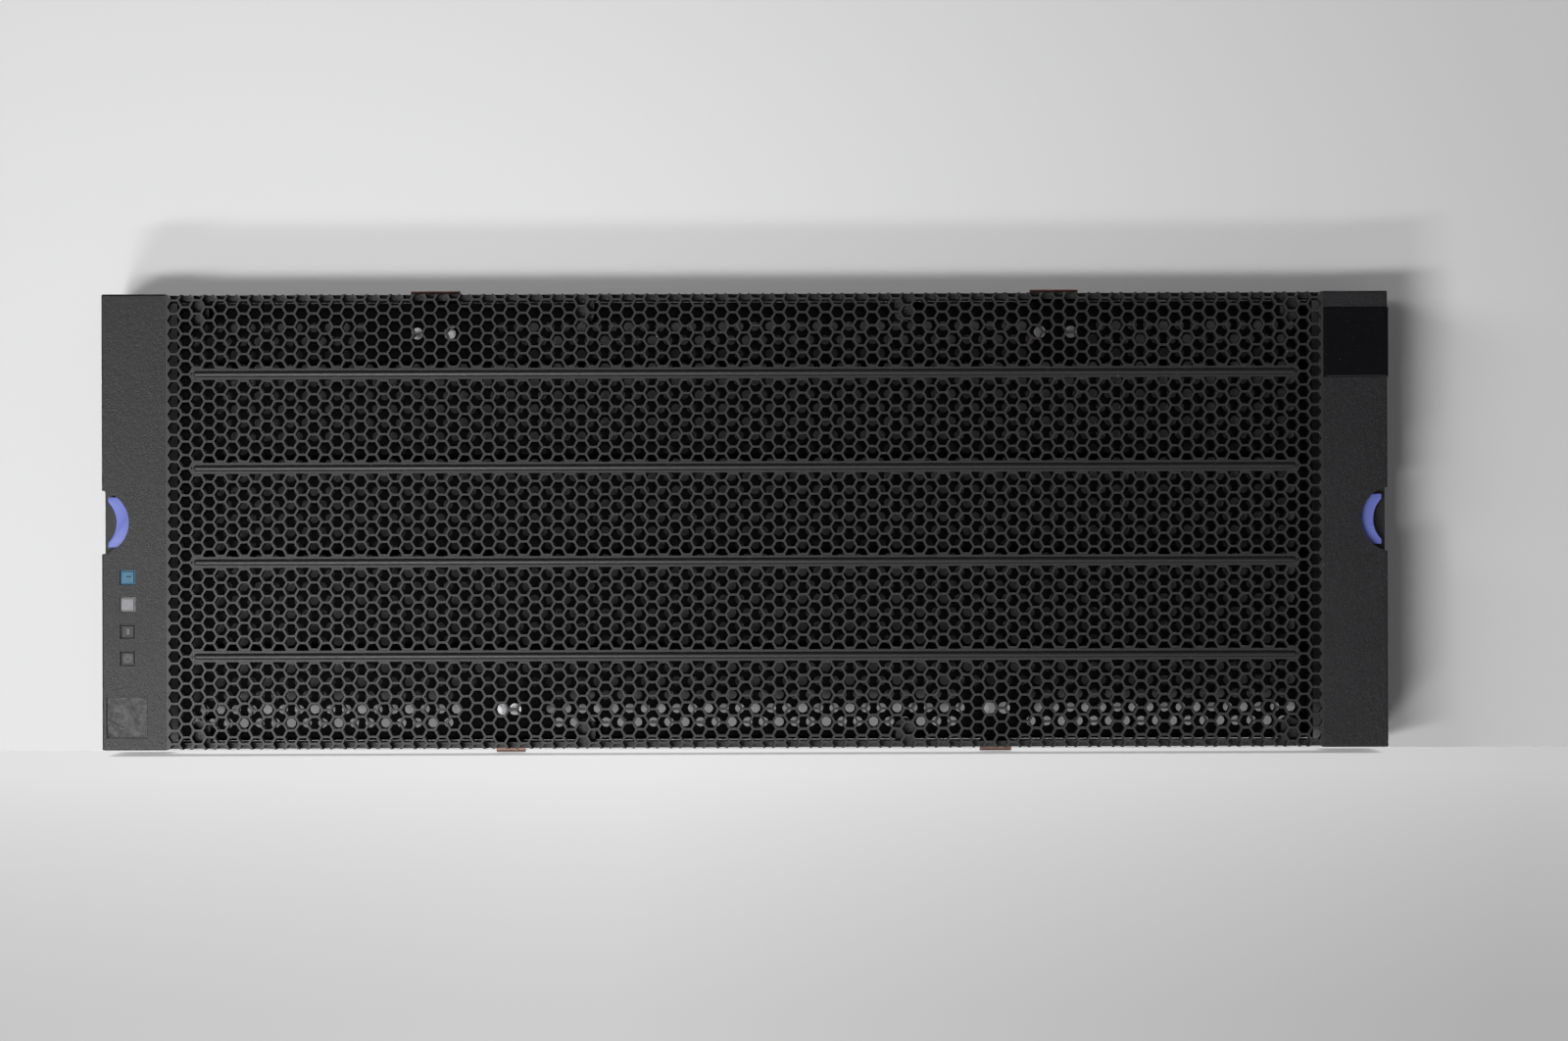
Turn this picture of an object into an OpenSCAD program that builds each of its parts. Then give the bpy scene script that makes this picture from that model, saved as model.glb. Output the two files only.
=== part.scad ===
// Front bezel of a 4U rack server: a moulded frame with a honeycomb grille, a perforated
// steel screen behind it, four indicator windows and two spring-loaded release latches.
// Millimetres. +X is to the right of someone facing the bezel, the front faces -Y, +Z is up.
// The origin is at the middle of the footprint, at the height of the lowest clip.

/* [Frame] */
// Width across both end panels
bezel_w = 482.6; // [440:0.1:520]
// Height of the end panels
bezel_h = 171.2; // [165:0.1:176]
// Depth of the end blocks
block_d = 30; // [28:0.5:34]
// Width of each end block, seen from the front
block_w = 24; // [23.5:0.5:26]
// Thickness of the moulded walls
wall = 2.2; // [1.8:0.1:2.6]
// Depth at which the top and bottom skirts end
skirt_d = 17; // [16:0.5:22]

/* [Honeycomb grille] */
// Rows of cells between two beads (the real grille has 7 of less than half this size)
rows_per_band = 3; // [2:1:3]
// Thickness of the ribs between cells
rib = 1.8; // [1:0.1:2.2]
// Depth of the honeycomb plate
grille_t = 4; // [3:0.5:5]
// Distance between the horizontal beads
bead_pitch = 35.315; // [34:0.005:36]
// Height of the lowest bead above the lower edge of the panels
first_bead = 35.15; // [34:0.05:36]
// Radius of the beads
bead_r = 1.25; // [1:0.05:1.4]
// Height of the plain strip under each bead
strip_h = 4.1; // [3.5:0.1:5]

/* [Perforated screen] */
// Thickness of the sheet
sheet_t = 0.8; // [0.6:0.1:1.2]
// Depth of the sheet's front face
screen_y = 12; // [11:0.5:14]
// Diameter of the holes
hole_d = 7.2; // [5:0.1:9]
// Distance between neighbouring holes
hole_pitch = 12; // [11:0.5:16]

/* [Release latches] */
// Radius of the finger recess in the end panel
scoop_r = 12.1; // [11.5:0.1:12.5]
// Distance of the recess axis outside the panel's edge
scoop_out = 1.9; // [1.5:0.1:2.5]
// Depth of the recess floor
scoop_d = 7; // [6.8:0.1:7.5]
// Travel of a latch when it is pushed in
latch_travel = 3.5; // [2:0.1:3.5]
// Width of the touch pad along the panel's height
pad_w = 19; // [17:0.5:19]

/* [Indicator windows] */
// Number of windows
window_count = 4; // [1:1:4]
// Distance between windows
window_pitch = 10.15; // [9:0.05:10.5]
// Width of a window
window_w = 5.8; // [5:0.1:6.2]
// Height of a window
window_h = 5.5; // [5:0.1:6.2]

/* [Badge and label] */
// Height of the badge
badge_h = 26.4; // [20:0.1:28]
// Side of the square label recess
recess_side = 15.6; // [12:0.1:16.5]

/* [Retention clips] */
// Thickness of the spring steel
clip_t = 0.8; // [0.6:0.1:0.9]
// Distance that a clip stands out past the panels' edge
clip_proud = 2.2; // [1.5:0.1:2.5]

/* [Hidden] */
$fn = 48;
gap = 0.05;                      // between pieces of one body that nest
run = 0.3;                       // running clearance of the latches
side_x = bezel_w / 2;            // outer face of an end panel
inner_x = side_x - block_w;      // where an end block meets the grille
depth = skirt_d + 10;            // past everything that stands behind the panel
mid_z = bezel_h / 2;

// Frame
edge_r = 0.8;                    // rounding of the panels' outer edges
skirt_inset = 0.3;               // from the panels' edge to the skirt's outer face
cavity_x0 = inner_x + wall;
cavity_x1 = side_x - wall;
block_rib_t = 1.4;
block_rib_h = 6;
block_rib_z = [112, 130, 152];   // heights of the stiffening ribs in the end blocks

// Grille
cell_pitch = bead_pitch / rows_per_band;
cell_d = (cell_pitch - rib) / cos(30);
half_columns = round((inner_x - cell_d) / (cell_pitch * cos(30)));
col_pitch = (inner_x - rib / 2 - cell_d / 2) / half_columns;
grille_inset = 0.25;             // from the panels' edge to the grille's edge
grille_w = 2 * (inner_x - gap);
grille_h = bezel_h - 2 * grille_inset;
bead_half = 206.8;               // from the middle to the tip of a bead
bead_proud = 1.1;
bead_z = [for (k = [0:3]) first_bead + k * bead_pitch];

// Screen and its screws
screen_w = 2 * inner_x - 5;
screen_margin = 0.4;             // to the skirts
lip_d = 3;                       // depth of the folded lips
field_margin = 10;               // plain edge of the sheet
boss_r = 3.5;
boss_z = 7.5;                    // height of the bottom screw bosses
boss_x = [-205, -60, 60, 205];
shank_r = 1.4;
pilot_r = 1.45;

// Latches, measured from the panel's outer edge inwards
latch_z = mid_z;
pad_tip = 1.9;                   // to the tips of the pad's finger edge
pad_deep = 5;                    // to the middle of the pad's finger edge
pad_end = 15;
arm_start = 12.5;
arm_w = 11;
nose_len = 3.2;
hook_tip = block_d + 5;          // depth of the rear end of the latch arms
front_y = -(hook_tip - bead_proud) / 2;    // the panels' face, with the origin mid-way in depth
finger_r = 10.9;
pad_y0 = 2.4 + run;
pad_y1 = scoop_d - run;
face_t = 2.4;                    // thickness of the panel's face
floor_t = 1.6;
spring_y = 15;
spring_turns = 5;
spring_r = 1.95;
wire_r = 0.25;
peg_r = 1.2;
cover_t = 2;
cover_half = 18;
cover_screw_z = 14;
cover_screw_u = 17.5;

// Windows
window_x = -side_x + 9.65;
window_z0 = 34.5;                // middle of the lowest window
lens_gap = 0.1;
flange = 0.9;
flange_t = 1.2;
stem = 4;
stem_end = 24;
carrier_y = 12;
carrier_t = 3;
window_top = window_z0 + (window_count - 1) * window_pitch;
carrier_spots = [[window_x, window_z0 - 9], [window_x + 7.2, (window_z0 + window_top) / 2]];

// Badge and label
badge_z = bezel_h - 6 - badge_h;
badge_proud = 0.6;
badge_seat = 1.2;                // depth of the seat in the panel's face
badge_side = 0.5;                // how far the badge stands out past the panel's side
side_seat = 1;
badge_wrap = 12;
badge_pins = [[-12, 7], [-12, badge_h - 7]];
label_x = -side_x + 1.6;
label_z = 4.6;
recess_d = 0.6;
label_t = 0.25;
label_margin = 0.35;

// Retention clips: middle, width and side (1 = top, -1 = bottom)
clip_spots = [[-117.7, 18.7, 1], [117.6, 18.2, 1], [-89.5, 11, -1], [95, 12, -1]];
clip_foot = 14;
clip_in = 7.5;                   // from the panels' edge to the clip's leg
clip_back = skirt_d + 2.4;
rivet_r = 1.2;
rivet_head_r = 2.2;
rivet_head_t = 0.7;

// ---------------------------------------------------------------- shared shapes

// Moves a piece drawn from the panel's face and lower edge into the bezel's frame
module placed() {
    translate([0, front_y, clip_proud]) children();
}

// Draws a right-hand piece on the left instead
module on_side(left) {
    mirror([left ? 1 : 0, 0, 0]) children();
}

// Extrudes an outline drawn in X and Z from depth y0 to depth y1
module slab(y0, y1) {
    translate([0, y1, 0]) rotate([90, 0, 0]) linear_extrude(y1 - y0) children();
}

// Extrudes an outline drawn in Y and Z from x0 to x1
module along_x(x0, x1) {
    translate([x0, 0, 0]) rotate([90, 0, 90]) linear_extrude(x1 - x0) children();
}

// A box between two corners
module block(low, high) {
    translate(low) cube(high - low);
}

// A round bar along the depth
module bar_y(x, z, r, y0, y1) {
    translate([x, y1, z]) rotate([90, 0, 0]) cylinder(r = r, h = y1 - y0);
}

// A rectangle from the origin with its corners rounded
module rounded_rect(w, h, r) {
    translate([r, 0]) square([w - 2 * r, h]);
    translate([0, r]) square([w, h - 2 * r]);
    for (x = [r, w - r]) for (y = [r, h - r]) translate([x, y]) circle(r = r);
}

// Distance u inwards from the panel's outer edge, as a place on X
function from_edge(u) = side_x - u;

// A pan head screw driven from behind, its head resting at depth y
module pan_screw(x, y, z, length) {
    translate([x, y, z]) rotate([-90, 0, 0]) {
        cylinder(r = 2.6, h = 1.2);
        translate([0, 0, 1.2]) cylinder(r1 = 2.6, r2 = 1.7, h = 0.6);
    }
    bar_y(x, z, shank_r, y - length, y);
}

// ---------------------------------------------------------------- frame

// Outer form of the right end block, its outer edges rounded
module block_form() {
    intersection() {
        linear_extrude(bezel_h) translate([inner_x - 5, 0]) difference() {
            rounded_rect(block_w + 5, block_d + 5, edge_r);
            translate([-1, -1]) square([6, block_d + 7]);
            translate([-1, block_d]) square([block_w + 7, 7]);
        }
        along_x(inner_x - 1, side_x + 1) rounded_rect(block_d + 5, bezel_h, edge_r);
        slab(-1, block_d + 1) translate([inner_x - 5, 0]) rounded_rect(block_w + 5, bezel_h, edge_r);
    }
}

// Hollow inside an end block, with the walls of the finger recess left standing
module block_hollow() {
    difference() {
        block([cavity_x0, face_t, wall], [cavity_x1, block_d + 1, bezel_h - wall]);
        bar_y(side_x + scoop_out, latch_z, scoop_r + floor_t, 0, scoop_d + floor_t);
        for (z = block_rib_z)
            block([cavity_x0 - 1, 0, z], [cavity_x1 + 1, block_rib_h, z + block_rib_t]);
        for (s = [-1, 1])
            bar_y(from_edge(cover_screw_u), latch_z + s * cover_screw_z, boss_r, 0, scoop_d);
        translate([cavity_x0 - 1, spring_y, latch_z])
            rotate([0, 90, 0]) cylinder(r = peg_r, h = 3);
    }
}

// Finger recess, with the slot that the touch pad slides through
module finger_recess() {
    bar_y(side_x + scoop_out, latch_z, scoop_r, -1, scoop_d);
    slot_half = pad_w / 2 + run;
    block([cavity_x0 + 3, face_t, latch_z - slot_half], [side_x - 3, scoop_d, latch_z + slot_half]);
}

module cover_pilots() {
    for (s = [-1, 1])
        bar_y(from_edge(cover_screw_u), latch_z + s * cover_screw_z, pilot_r, 3, scoop_d + 1);
}

module end_block() {
    difference() {
        block_form();
        block_hollow();
        finger_recess();
        cover_pilots();
    }
}

// Seat of the badge in the face and the side of the right panel
module badge_seat_cut() {
    block([inner_x - 1, -1, badge_z], [side_x + 1, badge_seat, badge_z + badge_h]);
    block([side_x - side_seat, -1, badge_z], [side_x + 1, badge_wrap, badge_z + badge_h]);
    for (p = badge_pins) bar_y(side_x + p[0], badge_z + p[1], 1.25, -1, face_t + 1);
}

module window_cuts() {
    for (k = [0:window_count - 1])
        block([window_x - window_w / 2, -1, window_z0 + k * window_pitch - window_h / 2],
            [window_x + window_w / 2, face_t + 1, window_z0 + k * window_pitch + window_h / 2]);
}

module label_recess() {
    block([label_x, -1, label_z], [label_x + recess_side, recess_d, label_z + recess_side]);
}

module carrier_bosses() {
    for (p = carrier_spots) difference() {
        bar_y(p[0], p[1], 3, face_t - 1, carrier_y);
        bar_y(p[0], p[1], pilot_r, carrier_y - 8, carrier_y + 1);
    }
}

// Top or bottom skirt behind the grille, with the bosses that carry the screen
module skirt(top) {
    z_out = top ? bezel_h - skirt_inset : skirt_inset;
    s = top ? -1 : 1;
    z_in = z_out + s * wall;
    z_boss = top ? bezel_h - boss_z : boss_z;
    difference() {
        union() {
            block([-cavity_x0, grille_t, min(z_out, z_in)], [cavity_x0, skirt_d, max(z_out, z_in)]);
            for (x = boss_x) {
                bar_y(x, z_boss, boss_r, grille_t, screen_y);
                block([x - boss_r, grille_t, min(z_boss, z_out)],
                    [x + boss_r, screen_y, max(z_boss, z_out)]);
            }
        }
        for (x = boss_x) bar_y(x, z_boss, pilot_r, grille_t + 1, screen_y + 1);
    }
}

module bezel_frame() {
    color([0.22, 0.22, 0.24]) placed() {
        difference() {
            union() {
                end_block();
                on_side(true) end_block();
                carrier_bosses();
            }
            badge_seat_cut();
            window_cuts();
            label_recess();
        }
        skirt(true);
        skirt(false);
    }
}

// ---------------------------------------------------------------- grille

function on_strip(z) = min([for (b = bead_z) abs(z - b)]) < 0.3 * cell_pitch;

// Cells of the honeycomb, flat sides up and down, every second column raised by half a cell
module cells() {
    rows = ceil(bezel_h / cell_pitch);
    for (i = [-half_columns:half_columns]) for (j = [0:rows]) {
        z = first_bead + (j - rows_per_band + (abs(i - half_columns) % 2) / 2) * cell_pitch;
        if (!on_strip(z) && z < bezel_h + cell_d / 3)
            translate([i * col_pitch, z]) circle(d = cell_d, $fn = 6);
    }
}

module strips() {
    for (z = bead_z)
        translate([-bead_half - 0.8, z - strip_h / 2]) square([2 * bead_half + 1.6, strip_h]);
}

// A round-ended rod along X, cut flat at the back so that it seats in the plate
module bead(z) {
    reach = bead_half - bead_r;
    intersection() {
        translate([0, bead_r - bead_proud, z]) rotate([0, 90, 0]) rotate_extrude() intersection() {
            union() {
                translate([0, -reach]) square([bead_r, 2 * reach]);
                for (s = [-1, 1]) translate([0, s * reach]) circle(r = bead_r);
            }
            translate([0, -bezel_w]) square([bead_r + 1, 2 * bezel_w]);
        }
        block([-bezel_w, -bead_r, z - 2 * bead_r], [bezel_w, 0.5, z + 2 * bead_r]);
    }
}

module honeycomb_grille() {
    color([0.28, 0.28, 0.3]) placed() {
        slab(0, grille_t) difference() {
            translate([-grille_w / 2, grille_inset]) square([grille_w, grille_h]);
            difference() {
                cells();
                strips();
            }
        }
        for (z = bead_z) bead(z);
    }
}

// ---------------------------------------------------------------- screen

module screen_holes() {
    row_pitch = hole_pitch * sin(60);
    n_rows = floor((bezel_h - 2 * field_margin - hole_d) / row_pitch);
    n_cols = floor((screen_w - 2 * hole_d) / hole_pitch / 2);
    for (j = [0:n_rows]) for (i = [-n_cols:n_cols]) {
        x = (i + (j % 2) / 2) * hole_pitch;
        z = mid_z + (j - n_rows / 2) * row_pitch;
        if (!clip_zone(x, z) && x < n_cols * hole_pitch + 1) translate([x, z]) circle(d = hole_d);
    }
}

// True where a hole would weaken the foot of a clip
function clip_zone(x, z) =
    len([for (c = clip_spots)
        if (abs(x - c[0]) < c[1] / 2 + hole_d && c[2] * (z - mid_z) > mid_z - 30) 1]) > 0;

// The three parts of a clip's section, drawn for the bottom edge: foot, leg and hook
module clip_section() {
    y0 = screen_y + sheet_t;
    translate([y0, clip_in]) square([clip_t, clip_foot]);
    translate([y0, clip_in]) square([clip_back - y0, clip_t]);
    translate([clip_back - clip_t, -clip_proud + 1]) square([clip_t, clip_in - 1 + clip_proud + clip_t]);
    translate([clip_back + 0.4, -clip_proud + 1.2]) difference() {
        circle(r = 1.2);
        circle(r = 1.2 - clip_t);
        translate([-2, 0]) square([4, 2]);
    }
}

module rivet_spots(c) {
    for (s = [-1, 1]) {
        x = c[0] + s * (c[1] / 2 - 3.2);
        z = c[2] > 0 ? bezel_h - clip_in - clip_foot / 2 : clip_in + clip_foot / 2;
        translate([x, 0, z]) children();
    }
}

module retention_clip(c) {
    color([0.42, 0.36, 0.33]) placed() difference() {
        translate([0, 0, c[2] > 0 ? bezel_h : 0]) mirror([0, 0, c[2] > 0 ? 1 : 0])
            along_x(c[0] - c[1] / 2, c[0] + c[1] / 2) clip_section();
        rivet_spots(c) bar_y(0, 0, rivet_r + gap, 0, depth);
    }
}

module top_left_clip() { retention_clip(clip_spots[0]); }
module top_right_clip() { retention_clip(clip_spots[1]); }
module bottom_left_clip() { retention_clip(clip_spots[2]); }
module bottom_right_clip() { retention_clip(clip_spots[3]); }

module clip_rivets() {
    y0 = screen_y - rivet_head_t;
    y1 = screen_y + sheet_t + clip_t;
    color([0.6, 0.6, 0.62]) placed() for (c = clip_spots) rivet_spots(c) {
        bar_y(0, 0, rivet_r, y0, y1 + rivet_head_t);
        bar_y(0, 0, rivet_head_r, y0, screen_y);
        bar_y(0, 0, rivet_head_r, y1, y1 + rivet_head_t);
    }
}

module perforated_screen() {
    z0 = skirt_inset + wall + screen_margin;
    z1 = bezel_h - z0;
    color([0.13, 0.13, 0.14]) placed() difference() {
        union() {
            slab(screen_y, screen_y + sheet_t) difference() {
                translate([-screen_w / 2, z0]) square([screen_w, z1 - z0]);
                screen_holes();
            }
            block([-screen_w / 2, screen_y, z0], [screen_w / 2, screen_y + lip_d, z0 + sheet_t]);
            block([-screen_w / 2, screen_y, z1 - sheet_t], [screen_w / 2, screen_y + lip_d, z1]);
        }
        for (x = boss_x) for (z = [boss_z, bezel_h - boss_z]) bar_y(x, z, 1.6, 0, depth);
        for (c = clip_spots) rivet_spots(c) bar_y(0, 0, rivet_r + gap, 0, depth);
    }
}

module screen_screws() {
    color([0.55, 0.55, 0.58]) placed()
        for (x = boss_x) for (z = [boss_z, bezel_h - boss_z])
            pan_screw(x, screen_y + sheet_t, z, 6);
}

// ---------------------------------------------------------------- badge, label, windows

module badge_plate() {
    x0 = inner_x;
    x1 = side_x + badge_side;
    seat = badge_seat + badge_proud;
    color([0.04, 0.04, 0.05]) placed() {
        intersection() {
            translate([x0, -badge_proud, badge_z]) linear_extrude(badge_h) difference() {
                rounded_rect(x1 - x0, badge_wrap + badge_proud, 1.2);
                translate([-1, seat]) square([x1 - x0 - side_seat - badge_side + 1, depth]);
            }
            along_x(x0 - 1, x1 + 1) translate([-badge_proud, badge_z + gap])
                rounded_rect(badge_wrap + 5, badge_h - 2 * gap, 0.6);
            block([x0, -5, badge_z], [x1, badge_wrap - gap, badge_z + badge_h]);
        }
        for (p = badge_pins) bar_y(side_x + p[0], badge_z + p[1], 1.2, 0, face_t + 0.6);
    }
}

module blank_label() {
    side = recess_side - 2 * label_margin;
    color([0.2, 0.2, 0.21]) placed()
        block([label_x + label_margin, recess_d - label_t, label_z + label_margin],
            [label_x + label_margin + side, recess_d, label_z + label_margin + side]);
}

// Lens, flange and light pipe of window k, counted from the bottom, in one clear moulding
module lens(k) {
    w = window_w - 2 * lens_gap;
    h = window_h - 2 * lens_gap;
    z = window_z0 + k * window_pitch;
    placed() translate([window_x, 0, z]) {
        block([-w / 2, 0.4, -h / 2], [w / 2, face_t + 0.1, h / 2]);
        block([-w / 2 - flange, face_t, -h / 2 - flange], [w / 2 + flange, face_t + flange_t, h / 2 + flange]);
        block([-stem / 2, face_t, -stem / 2], [stem / 2, stem_end, stem / 2]);
    }
}

module power_lens() { color([0.2, 0.22, 0.22]) lens(0); }
module activity_lens() { color([0.2, 0.22, 0.22]) lens(1); }
module fault_lens() { color([0.7, 0.7, 0.72]) lens(2); }
module identify_lens() { color([0.2, 0.5, 0.65]) lens(3); }

module light_pipe_carrier() {
    color([0.3, 0.3, 0.32]) placed() difference() {
        block([-cavity_x1 + 0.9, carrier_y, carrier_spots[0][1] - 4],
            [-cavity_x0 - 1, carrier_y + carrier_t, window_top + 4]);
        for (k = [0:window_count - 1]) translate([window_x, 0, window_z0 + k * window_pitch])
            block([-stem / 2 - gap, 0, -stem / 2 - gap], [stem / 2 + gap, depth, stem / 2 + gap]);
        for (p = carrier_spots) bar_y(p[0], p[1], 1.6, 0, depth);
    }
}

module carrier_screws() {
    color([0.55, 0.55, 0.58]) placed()
        for (p = carrier_spots) pan_screw(p[0], carrier_y + carrier_t, p[1], 7);
}

// ---------------------------------------------------------------- latches, drawn for the right end

module latch_pad() {
    slab(pad_y0, pad_y1) difference() {
        translate([from_edge(pad_end), latch_z - pad_w / 2]) square([pad_end - pad_tip, pad_w]);
        translate([from_edge(pad_deep) + finger_r, latch_z]) circle(r = finger_r);
    }
}

// Arm that reaches back through the cover and ends in a hook facing outwards
module latch_arm() {
    u1 = arm_start - nose_len;
    translate([0, 0, latch_z - arm_w / 2]) linear_extrude(arm_w) polygon([
        [from_edge(pad_end), pad_y0], [from_edge(arm_start), pad_y0],
        [from_edge(arm_start), hook_tip - 4.4], [from_edge(u1), hook_tip - 3.8],
        [from_edge(u1), hook_tip - 3], [from_edge(arm_start), hook_tip], [from_edge(pad_end), hook_tip]]);
}

module release_latch(left) {
    color([0.4, 0.48, 0.8]) placed() on_side(left) {
        latch_pad();
        latch_arm();
    }
}

// Plate screwed over the mechanism: it holds the pad down and guides the arm
module latch_cover(left) {
    u0 = 4;
    u1 = block_w - wall - 0.4;
    slot_half = arm_w / 2 + run;
    color([0.18, 0.18, 0.19]) placed() on_side(left) slab(scoop_d, scoop_d + cover_t) difference() {
        translate([from_edge(u1), latch_z - cover_half]) square([u1 - u0, 2 * cover_half]);
        translate([side_x + scoop_out, latch_z]) circle(r = scoop_r + floor_t + gap);
        translate([from_edge(pad_end + latch_travel + run), latch_z - slot_half])
            square([pad_end + latch_travel + run - arm_start + 2, 2 * slot_half]);
        for (s = [-1, 1]) translate([from_edge(cover_screw_u), latch_z + s * cover_screw_z]) circle(r = 1.6);
    }
}

module cover_screws(left) {
    color([0.55, 0.55, 0.58]) placed() on_side(left)
        for (s = [-1, 1])
            pan_screw(from_edge(cover_screw_u), scoop_d + cover_t, latch_z + s * cover_screw_z, 5);
}

// Points of one ring of the wire, at turn t of the coil
function spring_ring(t, length) = [for (k = [0:5])
    let (a = 360 * t, b = 60 * k, r = spring_r + wire_r * cos(b))
    [t / spring_turns * length + wire_r * sin(b), r * cos(a), r * sin(a)]];

// Compression spring along +X, as one swept skin
module coil_spring(length) {
    steps = 12 * spring_turns;
    points = [for (i = [0:steps]) each spring_ring(i / 12, length)];
    skin = [for (i = [0:steps - 1]) for (k = [0:5])
        let (m = (k + 1) % 6) [6 * i + k, 6 * i + m, 6 * (i + 1) + m, 6 * (i + 1) + k]];
    ends = [[5, 4, 3, 2, 1, 0], [for (k = [0:5]) 6 * steps + k]];
    polyhedron(points, concat(skin, ends), convexity = 8);
}

module latch_spring(left) {
    x0 = cavity_x0 + wire_r + gap;
    x1 = from_edge(pad_end) - wire_r - gap;
    color([0.7, 0.7, 0.72]) placed() on_side(left) translate([x0, spring_y, latch_z]) coil_spring(x1 - x0);
}

module left_latch() { release_latch(true); }
module right_latch() { release_latch(false); }
module left_latch_spring() { latch_spring(true); }
module right_latch_spring() { latch_spring(false); }
module left_latch_cover() { latch_cover(true); }
module right_latch_cover() { latch_cover(false); }
module left_cover_screws() { cover_screws(true); }
module right_cover_screws() { cover_screws(false); }

bezel_frame();
honeycomb_grille();
perforated_screen();
screen_screws();
badge_plate();
blank_label();
identify_lens();
fault_lens();
activity_lens();
power_lens();
light_pipe_carrier();
carrier_screws();
left_latch();
left_latch_spring();
left_latch_cover();
left_cover_screws();
right_latch();
right_latch_spring();
right_latch_cover();
right_cover_screws();
top_left_clip();
top_right_clip();
bottom_left_clip();
bottom_right_clip();
clip_rivets();
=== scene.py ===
"""Looks of a rack server's front bezel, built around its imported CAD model.

Lengths are given in millimetres from the panel's face: X from the middle, Y into the depth
and Z up from the panels' lower edge. at() turns them into the frame's metres.
"""
import math

import bmesh
import bpy
import numpy as np
from mathutils import Matrix, Vector


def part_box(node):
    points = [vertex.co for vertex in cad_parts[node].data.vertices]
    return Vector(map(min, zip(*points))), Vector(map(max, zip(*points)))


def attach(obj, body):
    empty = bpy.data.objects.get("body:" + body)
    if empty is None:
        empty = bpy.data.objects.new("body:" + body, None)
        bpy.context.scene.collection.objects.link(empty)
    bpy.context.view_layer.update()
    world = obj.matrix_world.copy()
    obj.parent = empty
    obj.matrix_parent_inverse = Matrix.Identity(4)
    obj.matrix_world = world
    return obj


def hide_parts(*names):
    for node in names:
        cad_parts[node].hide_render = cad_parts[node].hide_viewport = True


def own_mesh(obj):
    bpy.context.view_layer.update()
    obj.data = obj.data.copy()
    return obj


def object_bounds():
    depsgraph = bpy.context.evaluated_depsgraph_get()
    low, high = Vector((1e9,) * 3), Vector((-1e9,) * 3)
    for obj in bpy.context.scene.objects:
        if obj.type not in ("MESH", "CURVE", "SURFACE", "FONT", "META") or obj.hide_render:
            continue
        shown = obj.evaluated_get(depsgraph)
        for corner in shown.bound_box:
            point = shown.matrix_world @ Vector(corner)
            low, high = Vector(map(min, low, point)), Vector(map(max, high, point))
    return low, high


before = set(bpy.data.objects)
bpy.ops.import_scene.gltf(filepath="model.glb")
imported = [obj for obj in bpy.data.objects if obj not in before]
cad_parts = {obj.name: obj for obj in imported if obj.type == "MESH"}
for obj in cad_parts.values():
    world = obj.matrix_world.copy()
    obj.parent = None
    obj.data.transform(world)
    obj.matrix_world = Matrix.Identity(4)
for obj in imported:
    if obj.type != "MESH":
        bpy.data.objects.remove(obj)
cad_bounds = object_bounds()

MM = 0.001
FRAME_LOW, FRAME_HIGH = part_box("bezel_frame")
GRILLE_LOW, GRILLE_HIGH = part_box("honeycomb_grille")
SCREEN_LOW, SCREEN_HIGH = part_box("perforated_screen")
CAD_LOW, CAD_HIGH = Vector(cad_bounds[0]), Vector(cad_bounds[1])
PANEL_H = (FRAME_HIGH.z - FRAME_LOW.z) / MM
MID = PANEL_H / 2
SIDE = FRAME_HIGH.x / MM

# Honeycomb
CELL_PITCH = 5.045
CELL_OPEN = 4.25
GRILLE_T = 4.0
COLUMN_PITCH = CELL_PITCH * math.cos(math.pi / 6)
LAST_COLUMN = 49
BEAD_ROWS = (7, 14, 21, 28)
BEAD_HALF = 206.8
BEAD_R = 1.25
BEAD_SUNK = 0.15
STRIP_HALF_H = 2.05
STRIP_HALF_W = 207.3

# Perforated screen
HOLE_D = 3.6
HOLE_PITCH = 5.96
HOLE_X, HOLE_Z = 3.7, 4.3
SHEET_T = 0.8
FOLD_MARGIN = 5.5                # plain edge of the sheet, to the middles of the outer holes
# From x, to x, and 1 at the top or -1 at the bottom: no holes where the clips are riveted on
PLAIN_ZONES = ((-144, -96, 1), (108, 131, 1), (-109, -76, -1), (82, 108, -1))
PLAIN_ZONE_H = 24

# Indicator windows
WINDOW_X = -SIDE + 9.65
LENS_RIM, LENS_FRONT = 0.75, 0.35   # depths of a lens's border and of its raised face
SIGN_BACK = LENS_FRONT + 0.03       # a sign is sunk this far into the lens
SIGN_T = 0.07

# Camera, in metres
CAMERA_X, CAMERA_Z = 0.0147, 0.0878
CAMERA_Y = FRAME_LOW.y - 1.25
CAMERA_ROLL = 0.17               # degrees

# Light of the room and of what lies behind the bezel
ROOM = 0.22
GROUND = 0.79
COVERED_PAINTED_SHADE = 0.3                    # painted shadow: share of the ground's colour left where the bezel covers it


def at(x, y, z):
    """A point in panel millimetres as a point of the frame"""
    return Vector((x * MM, FRAME_LOW.y + y * MM, FRAME_LOW.z + z * MM))


# ---------------------------------------------------------------- modelling helpers

def deselect():
    if bpy.context.object and bpy.context.object.mode != "OBJECT":
        bpy.ops.object.mode_set(mode="OBJECT")
    bpy.ops.object.select_all(action="DESELECT")


def only(piece):
    deselect()
    piece.select_set(True)
    bpy.context.view_layer.objects.active = piece


def edit(piece):
    only(piece)
    bpy.ops.object.mode_set(mode="EDIT")


def leave():
    bpy.ops.object.mode_set(mode="OBJECT")


def select_all():
    bpy.ops.mesh.select_all(action="SELECT")


def select_faces(piece, test):
    """Selects the faces for which test(middle, normal) holds"""
    bpy.ops.mesh.select_mode(type="FACE")
    bpy.ops.mesh.select_all(action="DESELECT")
    mesh = bmesh.from_edit_mesh(piece.data)
    for face in mesh.faces:
        face.select_set(bool(test(face.calc_center_median(), face.normal)))
    bmesh.update_edit_mesh(piece.data)


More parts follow.
